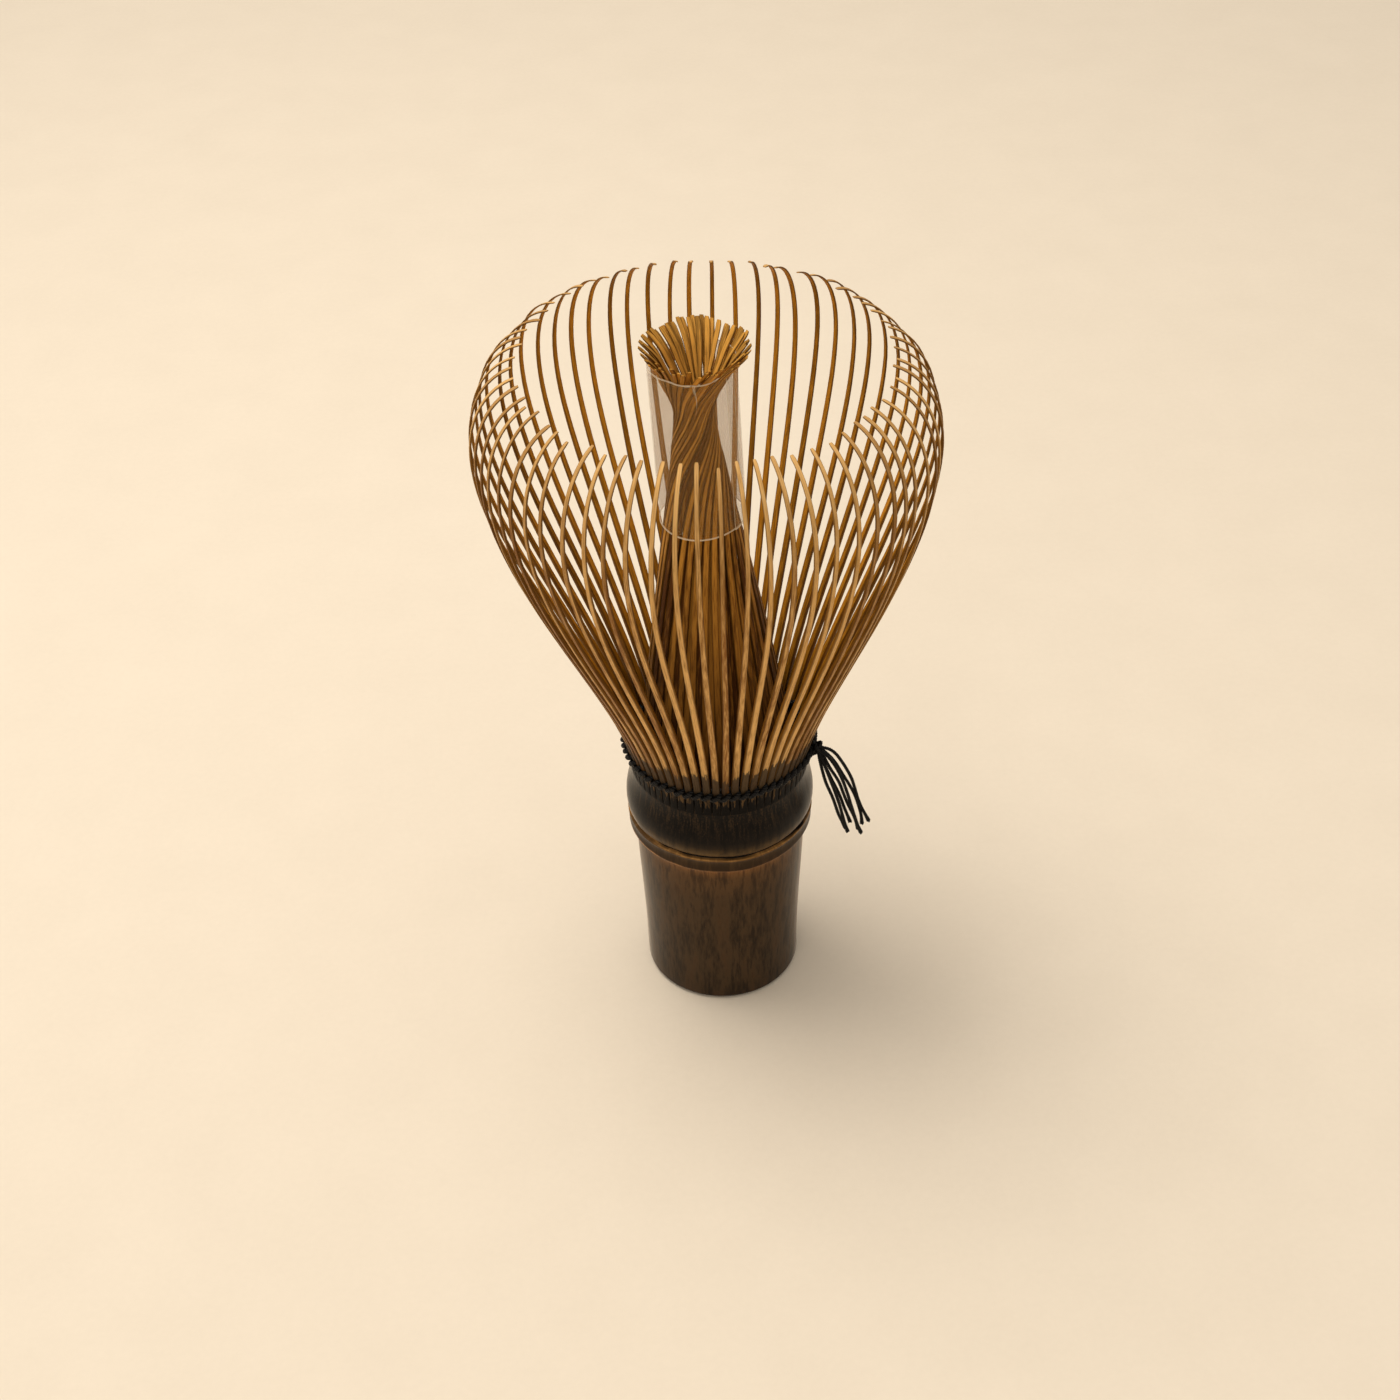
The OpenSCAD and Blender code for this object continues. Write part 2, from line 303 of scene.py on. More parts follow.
# %% Helpers for materials
class Finish(Tree):
    """A material with one Principled shader."""

    def __init__(self, name, constants):
        self.material = bpy.data.materials.new(name)
        self.material.use_nodes = True
        super().__init__(self.material.node_tree)
        self.tree.nodes.clear()
        self.shader = self.tree.nodes.new("ShaderNodeBsdfPrincipled")
        end = self.tree.nodes.new("ShaderNodeOutputMaterial")
        self.tree.links.new(self.shader.outputs[0], end.inputs["Surface"])
        for label, value in constants.items():
            self.shader.inputs[label].default_value = value
        self.place = self.add("ShaderNodeTexCoord")["Object"]

    def set(self, label, value):
        self.plug(value, self.shader.inputs[label])

    def attribute(self, name):
        return self.add("ShaderNodeAttribute", {"attribute_name": name})["Fac"]

    def noise(self, vector, scale=1.0, detail=2.0, roughness=0.5):
        values = {"Vector": vector, "Scale": scale, "Detail": detail, "Roughness": roughness}
        return self.add("ShaderNodeTexNoise", {}, values)[0]

    def blend(self, share, a, b, way="MIX"):
        """A colour between a and b."""
        mixer = self.add("ShaderNodeMix", {"data_type": "RGBA", "blend_type": way}, {"Factor": share})
        colours = [s for s in mixer.node.inputs if s.enabled and s.type == "RGBA"]
        for socket, value in zip(colours, (a, b)):
            self.plug(value if isinstance(value, Sum) else (*value, 1), socket)
        return mixer[0]

    def multiply(self, a, b):
        """One colour stained by another."""
        return self.blend(1.0, a, b, "MULTIPLY")

    def bump(self, height, depth):
        """A relief of that depth, in metres, where height is 0 to 1."""
        values = {"Strength": 1.0, "Distance": depth, "Height": height}
        self.set("Normal", self.add("ShaderNodeBump", {}, values)[0])


def linear(red, green, blue):
    """A colour given as it looks on a screen, from 0 to 255, as the shader's linear numbers."""
    shares = [value / 255 for value in (red, green, blue)]
    return tuple(s / 12.92 if s <= 0.04045 else ((s + 0.055) / 1.055) ** 2.4 for s in shares)


# %% [markdown]
# ### Split bamboo
# A shaved tine shows the fibres of the bamboo as long thin streaks, light and dark. Its outer face is
# lighter than its inner face. Its cut sides are painted darker as painted shade between the tines, its foot
# is painted darker as painted shade, and its outer face is painted lighter towards the tip as painted light.
# No two tines have the same tone. Just above the thread a patch of the culm's dark skin is left on each
# tine, where the shaving stopped.

# %% Finish: split bamboo
FIBRES_ACROSS = 4.4
FIBRES_ALONG = 26.0
SKIN_DARK, SKIN_LIGHT = linear(26, 20, 14), linear(74, 59, 43)
CULM_BLACK, CULM_TAN = linear(12, 8, 5), linear(104, 78, 47)
SKIN_RAGGED = 4.5 * MM
CULM_TOP = slit_z + 4.6 * MM
STREAKS_LOW, STREAKS_HIGH = slit_z + 0.5 * MM, slit_z + 3.9 * MM


def split_bamboo(name, dark, light, inner, foot, foot_end, skin_top=None):
    """Bamboo fibres along a tine. dark and light are its face's tones, inner the tone of its back.
    foot is the share of its tone that is kept under the painted shade at its foot, and foot_end is where
    that painted shade ends.
    Below skin_top the culm's own skin is left."""
    finish = Finish(name, {"Specular IOR Level": 0.07})
    tine, along = finish.attribute("tine"), finish.attribute("along")
    across, deep = finish.attribute("across"), finish.attribute("deep")
    tone = finish.attribute("tone")
    fibre_place = finish.vector(
        across * FIBRES_ACROSS + tine * 3.7, deep * FIBRES_ACROSS * 0.8, along * FIBRES_ALONG + tine * 1.3
    )
    fibres = finish.noise(fibre_place, 1.0, 4.0, 0.62)
    patches = finish.noise(finish.vector(tine * 5.1, across, along * 9), 1.0, 2.0)
    face = finish.rise(deep, -0.1, 0.42)
    share = fibres * 0.66 + patches * 0.22 + tone * 0.15
    colour = finish.blend(finish.rise(share, 0.28, 0.62), dark, light)
    back = finish.blend(finish.rise(fibres + tone * 0.12, 0.3, 0.7), tuple(0.4 * c for c in inner), inner)
    colour = finish.blend(face, back, colour)
    # Painted light: the outer face is painted lighter towards the tip, where the light from above falls.
    colour = finish.blend(finish.rise(along, 0.72, 1.0) * face * 0.4, colour, light)
    # Painted shade: the cut sides of each tine are painted darker, as the shade that falls in the gaps
    # between tines.
    edge = finish.rise(finish.math("ABSOLUTE", across), 0.3, 0.5)
    colour = finish.blend(edge * 0.66, colour, tuple(0.3 * c for c in dark))
    # Painted shade: the tone is darkened towards the foot of the tine, where shade falls low in the bulb.
    shaded = finish.mix_number(foot, 1.0, finish.rise(along, 0.0, foot_end))
    colour = finish.multiply(colour, finish.vector(shaded, shaded, shaded))
    if skin_top:
        height = finish.parts(finish.place)[2]
        ragged = finish.noise(finish.vector(across * 3 + tine * 9.7, tine * 2.0, along * 40), 1.0, 3.0)
        top = skin_top + (ragged - 0.5) * SKIN_RAGGED + tone * 1.5 * MM
        patch = finish.rise(top - height, -0.1 * MM, 0.5 * MM) * finish.rise(deep, 0.1, 0.4)
        patch = patch * finish.rise(fibres * 0.6 + ragged * 0.4 + tone * 0.16, 0.26, 0.46)
        colour = finish.blend(patch * 0.9, colour, finish.blend(fibres, SKIN_DARK, SKIN_LIGHT))
        streak_end = STREAKS_HIGH - finish.rise(ragged, 0.3, 0.7) * (STREAKS_HIGH - STREAKS_LOW)
        streaks = finish.rise(height - streak_end, 0.0, 0.8 * MM) * finish.rise(fibres, 0.38, 0.52)
        # The tan streaks fade towards the cut sides under the same painted shade.
        culm_skin = finish.blend(streaks * (0.7 - edge * 0.6), CULM_BLACK, CULM_TAN)
        colour = finish.blend(finish.rise(CULM_TOP - height, 0.0, 0.5 * MM), colour, culm_skin)
    finish.set("Base Color", colour)
    finish.set("Roughness", 0.42 + fibres * 0.22)
    finish.bump(fibres, 0.05 * MM)
    return finish.material


# The outer tines get painted shade only near their feet. The inner tines get it for most of their length, as
# the shade inside the bulb.
outer_bamboo = split_bamboo(
    "outer bamboo", linear(134, 86, 34), linear(226, 176, 106), linear(214, 142, 38),
    foot=0.27, foot_end=0.2, skin_top=slit_z + 8.9 * MM,
)
inner_bamboo = split_bamboo(
    "inner bamboo", linear(92, 50, 6), linear(214, 148, 56), linear(228, 164, 70), foot=0.2, foot_end=0.8
)
print("bamboo finishes are ready")

# %% [markdown]
# ## The tines
# A tine is a thin flat blade. It stands straight at its foot, bows out to the widest place of the bulb and
# hooks over at its tip. All the tines follow one rule, so one tree makes a ring of them: it makes a unit
# blade, puts down one copy for each tine, and then moves every point to its place along a guide line. Each
# tine gets its own small bend, twist, length and tone, because they are shaved by hand.

# %% Tree: a ring of split tines
TINES = 64
RINGS_CROWD = 1.6
EDGE_ROUND = 0.13
TIP_START = 0.994
FOOT_LOW, FOOT_HIGH = 3.4 * MM, 5.4 * MM

blades = GeometryTree(
    "ring of split tines",
    {
        "Count": TINES, "First": 0.0, "Layers": 0.0, "Rings": 36,
        "Foot Width": 0.001, "Tip Width": 0.0005, "Foot Thickness": 0.001, "Tip Thickness": 0.0005,
        "Spread": 0.0, "Taper": 1.0, "Face": 0.0, "Base": 0.0, "Bend": 0.0, "Wave": 0.0, "Twist": 0.0,
        "Short": 0.0, "Clump": 0.0, "Crowd": 100.0,
        "Turn": 0.0, "Turn Height": 0.1, "Turn Span": 0.01, "Lean": 0.0,
        "Drift": 0.0, "Drift Start": 0.0, "Drift End": 0.1, "Seed": 1,
    },
)


def unit_blade(tree):
    """A blade 1 wide, 1 thick and 1 tall, with its rings closer together towards the tip."""
    line = tree.add("GeometryNodeCurvePrimitiveLine", {}, {"Start": (0, 0, 0), "End": (0, 0, 1)})
    line = tree.add("GeometryNodeResampleCurve", {}, {"Curve": line, "Count": tree["Rings"]})
    share = tree.add("GeometryNodeSplineParameter")["Factor"]
    spaced = tree.vector(0.0, 0.0, 1 - (1 - share) ** RINGS_CROWD)
    line = tree.add("GeometryNodeSetPosition", {}, {"Geometry": line, "Position": spaced})
    section = tree.add("GeometryNodeCurvePrimitiveQuadrilateral", {}, {"Width": 1.0, "Height": 1.0})
    section = tree.add(
        "GeometryNodeFilletCurve", {"mode": "POLY"}, {"Curve": section, "Radius": EDGE_ROUND, "Count": 2}
    )
    blade = tree.add(
        "GeometryNodeCurveToMesh", {}, {"Curve": line, "Profile Curve": section, "Fill Caps": True}
    )[0]
    x, y, z = tree.parts(tree.add("GeometryNodeInputPosition")[0])
    for name, value in {"across": x, "deep": y, "along": z}.items():
        blade = tree.store(blade, name, value)
    return blade


def ring_of_blades(tree):
    """Copies the unit blade round the axis, and then moves each point to its place on a tine."""
    guide = tree.add("GeometryNodeMeshToCurve", {}, {"Mesh": tree["Guide"]})
    points = tree.add("GeometryNodePoints", {}, {"Count": tree["Count"]})
    blade = unit_blade(tree)
    copies = tree.add("GeometryNodeInstanceOnPoints", {}, {"Points": points, "Instance": blade})[0]
    copies = tree.store(copies, "tine", tree.add("GeometryNodeInputIndex")[0] * 1.0, "INSTANCE")
    real = tree.add("GeometryNodeRealizeInstances", {}, {"Geometry": copies})

    tine, along = tree.attribute("tine"), tree.attribute("along")
    across, deep = tree.attribute("across"), tree.attribute("deep")
    own = [tree.random(tine, tree["Seed"] + number) for number in range(8)]

    # Where on the guide line: some tines are cut a little short, and inner ones are in three layers.
    reach = along * (1 - tree["Short"] * (own[0] + 1))
    quarter = tree.math("MODULO", tine, 4.0)
    layer = tree.math("COMPARE", quarter, 1.0, 0.1) + 2 * tree.math("COMPARE", quarter, 3.0, 0.1)
    sample = tree.add(
        "GeometryNodeSampleCurve",
        {"mode": "FACTOR"},
        {"Curves": guide, "Factor": reach, "Curve Index": layer * tree["Layers"]},
    )
    radius, _, height = tree.parts(sample["Position"])
    way_out, _, way_up = tree.parts(sample["Tangent"])

    # The section: its width and thickness taper, its tip is rounded off, and it twists a little.
    taper = along ** tree["Taper"]
    tip = 1 - 0.3 * tree.rise(along, TIP_START, 1.0)
    at_foot = 1 - tree.rise(height, tree["Base"] + FOOT_LOW, tree["Base"] + FOOT_HIGH)
    width = tree.mix_number(tree["Foot Width"], tree["Tip Width"], taper) * (1 + tree["Spread"] * at_foot)
    room = radius * (2 * math.pi) / tree["Count"] * tree["Crowd"]
    width = tree.math("MINIMUM", width, room) * tip
    thickness = tree.mix_number(tree["Foot Thickness"], tree["Tip Thickness"], taper) * tip
    side = across * width * (1 + own[1] * 0.07 * along)
    out = (deep - tree["Face"]) * thickness
    twist = tree["Twist"] * own[2] * along * along
    side_turned = side * twist.cos() - out * twist.sin()
    out_turned = out * twist.cos() + side * twist.sin()

    # Its own bend, and a slow wave along it.
    wave = (along * (9 + own[3] * 3) + own[4] * 3).sin() * along * tree["Wave"]
    side_turned = side_turned + along * along * own[5] * tree["Bend"] + wave
    radius = radius + out_turned * way_up + along * along * own[6] * tree["Bend"] * 0.6
    height = height - out_turned * way_out

    # Round the axis, with the bundle's turn, and then the lean and the drift of the whole.
    along_turn = (height - tree["Turn Height"]) / tree["Turn Span"]
    turn = tree["Turn"] / math.pi * tree.math("ARCTANGENT", along_turn)
    clump = tree.random(tree.math("FLOOR", tine / 3.0), tree["Seed"] + 9) * tree["Clump"]
    upper = tree.rise(along, 0.86, 1.0)
    angle = (tine + tree["First"]) * (2 * math.pi) / tree["Count"] + turn + clump * upper
    x = radius * angle.cos() + side_turned * angle.sin()
    y = radius * angle.sin() - side_turned * angle.cos()
    drift = tree["Drift"] * tree.rise(height, tree["Drift Start"], tree["Drift End"])
    x = x - tree["Lean"] * (height - tree["Base"]) - drift
    place = tree.vector(x, y, height)
    placed = tree.add("GeometryNodeSetPosition", {}, {"Geometry": real, "Position": place})
    toned = tree.store(placed, "tone", own[7])
    tree.finish(toned)


ring_of_blades(blades)
print("the tree of the tines has", len(blades.tree.nodes), "nodes")

# %% [markdown]
# ### Guide lines
# A tine's middle line is a few smooth curves that follow on. It is drawn once, in a plane through the
# axis, as distances from the axis and heights. Bezier curves suit it, because four points are enough to
# say where a stretch starts and ends and which way it leaves.

# %% Guide lines
def bezier(controls, share):
    """The point at that share of a Bezier curve with four control points."""
    rest = 1 - share
    shares = (rest**3, 3 * rest**2 * share, 3 * rest * share**2, share**3)
    return sum((point * part for point, part in zip(controls[1:], shares[1:])), controls[0] * shares[0])


def joined(*curves, steps=24):
    """Points along Bezier curves that follow on, each curve given as four points (radius, height) in mm."""
    line = []
    for curve in curves:
        points = [Vector((radius, 0, height)) * MM for radius, height in curve]
        line += [bezier(points, k / steps) for k in range(0 if not line else 1, steps + 1)]
    return line


BASE = slit_z / MM
WAIST_R = 13.5
BELLY_R, BELLY_Z = 32.3, BASE + 58.4
TIP_R, TIP_Z = 24.9, BASE + 71.0

outer_line = joined(
    [(WAIST_R, BASE), (WAIST_R, BASE + 12.6), (BELLY_R, BELLY_Z - 17.3), (BELLY_R, BELLY_Z)],
    [(BELLY_R, BELLY_Z), (BELLY_R, BELLY_Z + 9.2), (TIP_R + 2.5, TIP_Z - 0.4), (TIP_R, TIP_Z)],
)
print("outer guide line ends at", [round(c / MM, 2) for c in outer_line[-1]], "mm")

# %% [markdown]
# ### Outer tines
# A real outer tine is about 1 mm wide at its foot and half of that at its tip, where it is shaved so thin
# that it bends over. Below the thread the tines are still almost one wall, so their feet are a bit wider.

# %% Outer tines
outer_tines = grow(
    "outer_tines_split", blades, guide_mesh("outer guide", [outer_line]), outer_bamboo,
    {
        "Count": TINES, "First": 0.5, "Rings": 40,
        "Foot Width": 1.1 * MM, "Tip Width": 0.58 * MM, "Spread": 0.14, "Base": slit_z,
        "Foot Thickness": 0.95 * MM, "Tip Thickness": 0.18 * MM,
        "Taper": 0.8, "Face": 0.5, "Bend": 0.6 * MM, "Wave": 0.16 * MM, "Twist": 0.2, "Short": 0.007,
        "Drift": 0.9 * MM, "Drift Start": slit_z + 4.4 * MM, "Drift End": slit_z + 58.4 * MM, "Seed": 11,
    },
)
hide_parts("outer_tines")
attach(outer_tines, "whisk")

# %% [markdown]
# ### Inner tines
# The inner tines are thinner and stay straight. They gather into a twisted neck, which a clear sleeve holds,
# and fan out again above it. Three layers of tines share one twist, so the same tree makes them: it only
# gets three guide lines, a turn about the axis, and a clumping of the tips.

# %% Inner tines
NECK_R, NECK_Z = 2.65, BASE + 62
WALL_R, WALL_Z = 5.3, BASE + 69.4
FLARE_R, FLARE_Z = 7.75, BASE + 72.8
INNER_FOOT_R = 11.1
LAYERS = 3
LEAN = math.tan(math.radians(2.3))


def inner_line(layer):
    """The middle line of one layer: up to the neck, out to the sleeve's wall, and over its rim."""
    neck_r = NECK_R - 0.55 * layer
    wall_r = WALL_R - 0.4 * layer
    tip_r = FLARE_R - 0.3 * layer
    tip_z = FLARE_Z + 0.15 * layer
    return joined(
        [(INNER_FOOT_R, BASE), (INNER_FOOT_R, BASE + 13), (neck_r + 0.9, NECK_Z - 10.5), (neck_r, NECK_Z)],
        [(neck_r, NECK_Z), (neck_r, NECK_Z + 2.6), (wall_r - 1.0, WALL_Z - 2.4), (wall_r, WALL_Z)],
        [(wall_r, WALL_Z), (wall_r + 0.45, WALL_Z + 1.08), (tip_r - 1.2, tip_z - 1.5), (tip_r, tip_z)],
    )


inner_lines = [inner_line(layer) for layer in range(LAYERS)]
inner_tines = grow(
    "inner_tines_split", blades, guide_mesh("inner guides", inner_lines), inner_bamboo,
    {
        "Count": TINES, "First": 0.0, "Layers": 1.0, "Rings": 44,
        "Foot Width": 1.04 * MM, "Tip Width": 0.72 * MM, "Crowd": 1.6,
        "Foot Thickness": 0.5 * MM, "Tip Thickness": 0.2 * MM,
        "Taper": 1.0, "Face": 0.0, "Base": slit_z, "Bend": 0.14 * MM, "Wave": 0.05 * MM, "Twist": 0.22,
        "Short": 0.005, "Clump": 0.06,
        "Turn": math.radians(190), "Turn Height": NECK_Z * MM - 2.5 * MM, "Turn Span": 6 * MM,
        "Lean": LEAN, "Drift": -0.8 * MM, "Drift Start": slit_z + 65 * MM, "Drift End": slit_z + 73 * MM,
        "Seed": 31,
    },
)
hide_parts("inner_tines")
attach(inner_tines, "whisk")

# %% [markdown]
# ## Thread
# The lacing is a black sewing thread, plied from three thinner yarns that wind round each other. One tree
# makes every thread: it follows a guide line, offsets three copies of it on a helix and gives each a round
# section. Towards a cut end the yarns may part a little.

# %% Tree: a plied thread
YARNS = 3
plied = GeometryTree("plied thread", {"Radius": 0.0002, "Lay": 0.0012, "Spacing": 0.00012, "Fray": 0.0})


def ply_thread(tree):
    """Winds the yarns round the guide line, with one turn for each length of the lay."""
    line = tree.add("GeometryNodeMeshToCurve", {}, {"Mesh": tree["Guide"]})
    line = tree.add(
        "GeometryNodeResampleCurve", {"mode": "LENGTH"}, {"Curve": line, "Length": tree["Spacing"]}
    )[0]
    length = tree.add("GeometryNodeSplineLength")["Length"]
    turns = tree.math("ROUND", length / tree["Lay"])
    share = tree.add("GeometryNodeSplineParameter")["Factor"]
    way = tree.add("GeometryNodeInputTangent")[0]
    up = tree.add("GeometryNodeInputNormal")[0]
    over = tree.add("ShaderNodeVectorMath", {"operation": "CROSS_PRODUCT"}, (way, up))[0]
    loose = 1 + tree["Fray"] * tree.rise(share, 0.9, 1.0)
    yarns = tree.add("GeometryNodeJoinGeometry")
    for yarn in range(YARNS):
        angle = share * turns * (2 * math.pi) + 2 * math.pi * yarn / YARNS
        out = tree["Radius"] * 0.5 * loose
        across = {"Vector": up, "Scale": out * angle.cos()}
        along = {"Vector": over, "Scale": out * angle.sin()}
        across = tree.add("ShaderNodeVectorMath", {"operation": "SCALE"}, across)
        along = tree.add("ShaderNodeVectorMath", {"operation": "SCALE"}, along)
        offset = tree.add("ShaderNodeVectorMath", {"operation": "ADD"}, (across, along))
        moved = tree.add("GeometryNodeSetPosition", {}, {"Geometry": line, "Offset": offset})
        section = tree.add(
            "GeometryNodeCurvePrimitiveCircle", {}, {"Resolution": 7, "Radius": tree["Radius"] * 0.52}
        )
        tube = tree.add(
            "GeometryNodeCurveToMesh", {}, {"Curve": moved, "Profile Curve": section, "Fill Caps": True}
        )[0]
        tree.tree.links.new(tube.socket, yarns.node.inputs[0])
    smooth = tree.add("GeometryNodeSetShadeSmooth", {}, {"Geometry": yarns})
    tree.finish(smooth)


ply_thread(plied)
print("a thread has", YARNS, "yarns")

# %% [markdown]
# ### Black thread
# The thread is dyed black and slightly worn, so its fibres are a little lighter in places. It has a low
# sheen and a fine relief.

# %% Finish: black thread
def black_thread():
    finish = Finish("black thread", {"Specular IOR Level": 0.2})
    fibres = finish.noise(finish.place, 9000.0, 2.0, 0.6)
    patches = finish.noise(finish.place, 700.0, 2.0)
    dark, light = linear(6, 5, 4), linear(26, 21, 16)
    worn = finish.rise(fibres * 0.7 + patches * 0.3, 0.35, 0.75)
    finish.set("Base Color", finish.blend(worn, dark, light))
    finish.set("Roughness", 0.3 + 0.3 * fibres)
    finish.bump(fibres, 0.03 * MM)
    return finish.material


thread = black_thread()
print("the thread's finish is ready")

# %% [markdown]
# ### The lacing
# Two strands are twined round the tines. Each goes outside one tine and inside the next, and between the
# tines they cross, one over the other. Seen from the axis, a strand is a helix with one turn for each two
# tines. Its way out and in is squared off, so that it lies flat on each tine's face.

# %% Lacing strands
lacing_low, lacing_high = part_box("lacing_strand_a")
LACING_Z = (lacing_low[2] + lacing_high[2]) / 2 / MM
LACE_OUT_R = 14.5
LACE_IN_R = 12.95
STRAND_R = 0.43
CROSSING_RISE = 0.4
SQUARED = 2.6
print("the lacing is at", round(LACING_Z, 1), "mm")


def twined(phase, steps=16):
    """The path of one strand: steps points for each tine."""
    points = []
    for k in range(TINES * steps):
        tine = k / steps
        swing = math.pi * (tine + 0.5) + phase
        share = math.tanh(SQUARED * math.sin(swing)) / math.tanh(SQUARED)
        radius = (LACE_OUT_R + LACE_IN_R) / 2 + (LACE_OUT_R - LACE_IN_R) / 2 * share
        uneven = 0.07 * math.sin(tine * 1.7) + 0.05 * math.sin(tine * 0.61)
        height = LACING_Z - CROSSING_RISE * math.cos(swing) + uneven
        angle = 2 * math.pi * (tine + 0.5) / TINES
        points.append(Vector((radius * math.cos(angle), radius * math.sin(angle), height)) * MM)
    return points


for name, phase in (("lacing_strand_a", 0.0), ("lacing_strand_b", math.pi)):
    strand = grow(
        name.replace("strand", "thread"), plied, guide_mesh(name, [twined(phase)], closed=True), thread,
        {"Radius": STRAND_R * MM, "Lay": 1.05 * MM, "Spacing": 0.11 * MM},
    )
    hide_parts(name)
    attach(strand, "whisk")

# %% [markdown]
# ### The knot and its tails
# The two strands end in a small hard knot on the outside. Seven tails of thread hang from it. They are
# short and stiff, so each leaves the knot outwards, bends down under its own weight and ends cut off.

# %% Knot
knot_low, knot_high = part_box("lacing_knot")
knot_centre = (Vector(knot_low) + Vector(knot_high)) / 2
knot_r = (knot_high[0] - knot_low[0]) / 2
knot_turn = math.atan2(knot_centre.y, knot_centre.x)
outward = Vector((math.cos(knot_turn), math.sin(knot_turn), 0))
sideways = Vector((-outward.y, outward.x, 0))
up = Vector((0, 0, 1))


def from_knot(out, side, rise):
    """A point that counts from the knot's centre, in millimetres."""
    return knot_centre + (outward * out + sideways * side + up * rise) * MM


def knot_line(size, flat, lean, steps=110):
    """An overhand knot pulled tight: a closed trefoil, pressed flat against the tines."""
    points = []
    for k in range(steps):
        a = 2 * math.pi * k / steps
        across = (math.sin(a) + 2 * math.sin(2 * a)) / 3
        along = (math.cos(a) - 2 * math.cos(2 * a)) / 3
        deep = -math.sin(3 * a)
        points.append(from_knot(deep * size * flat + along * lean, across * size, along * size * 1.5 + 0.3))
    return points


knot = grow(
    "lacing_knot_tied", plied,
    guide_mesh("knot guide", [knot_line(0.85, 0.4, 0.42), knot_line(0.5, 0.9, 0.3)], closed=True), thread,
    {"Radius": 0.25 * MM, "Lay": 1.0 * MM, "Spacing": 0.09 * MM},
)
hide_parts("lacing_knot")
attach(knot, "whisk")

# %% Tails
TAILS = [
    [(0.6, 0.2, 0.77), (4.2, 0.6, 1.1), (4.8, 1.0, -6.0), (7.9, 1.3, -14.0)],
    [(0.83, -0.3, 0.5), (4.0, -0.8, -1.2), (5.5, -1.1, -7.4), (7.3, -0.9, -14.6)],
    [(0.8, 0.5, 0.2), (2.6, 1.1, -1.8), (5.4, 1.7, -7.6), (6.8, 1.7, -14.8)],
    [(1, 0, 0), (2.1, 0.2, -3.1), (4.6, 0.3, -8.5), (6.5, 0.4, -15.0)],
    [(0.83, -0.5, -0.1), (2.3, -1.3, -3.8), (4.3, -2.0, -9.2), (5.6, -1.8, -13.8)],
    [(0.6, 0.3, -0.73), (1.1, 0.8, -3.8), (2.9, 1.1, -8.4), (5.3, 1.0, -14.3)],
    [(0.6, -0.3, -0.73), (0.9, -0.5, -3.7), (2.5, -0.7, -8.7), (4.9, -0.6, -14.2)],
]
START_SHARE = 0.55
KINK = 0.45


def tail_line(route, seed, steps=60):
    """A smooth curve along a route, with a slight kink of its own."""
    points = [from_knot(*place) for place in route]
    points[0] = knot_centre + (points[0] - knot_centre).normalized() * knot_r * START_SHARE
    line = []
    for k in range(steps + 1):
        share = k / steps
        places = [Vector((seed * 7.3, share * 3.4, 9.1 * axis + 0.5)) for axis in range(3)]
        kink = Vector([noise.noise(place) for place in places])
        line.append(bezier(points, share) + kink * KINK * share * MM)
    return line


for number, route in enumerate(TAILS, start=1):
    line = tail_line(route, number)
    tail = grow(
        f"tail_{number}", plied, guide_mesh("tail guide", [line]), thread,
        {"Radius": 0.27 * MM, "Lay": 1.0 * MM, "Spacing": 0.1 * MM, "Fray": 0.6},
    )
    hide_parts(f"thread_tail_{number}")
    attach(tail, "whisk")
    print("its length is", round(sum((b - a).length for a, b in zip(line, line[1:])) / MM, 1), "mm")

# %% [markdown]
# ## The handle
# The handle is a piece of smoked bamboo, so it is round but not perfectly round. It could be a plain
# turned profile, but a real joint wanders a little up and down as it goes round. So the profile is turned
# in code, and each ring of points gets a small wobble from smooth noise. Little webs close the slits'
# lower ends at uneven heights, because a blade splits the bamboo by hand.

# %% Handle shape
HOLLOW_R = 6.5
THROAT_R = 10.2
SEPTUM_LOW, SEPTUM_HIGH = 30.0, 32.4
RIDGE_Z = 32.4
AROUND = 240
WEB_WIDTH = 0.4


def arc(centre, radius, start, end, steps=6):
    """Points of a round stretch, as (radius, height) in mm. Angles are in degrees."""
    turns = [math.radians(start + (end - start) * k / steps) for k in range(steps + 1)]
    return [(centre[0] + radius * math.cos(a), centre[1] + radius * math.sin(a)) for a in turns]


def curve(*controls, steps=8):
    """Points of one Bezier curve through the profile, without its first point."""
    points = [Vector(c) for c in controls]
    return [tuple(bezier(points, k / steps)) for k in range(1, steps + 1)]


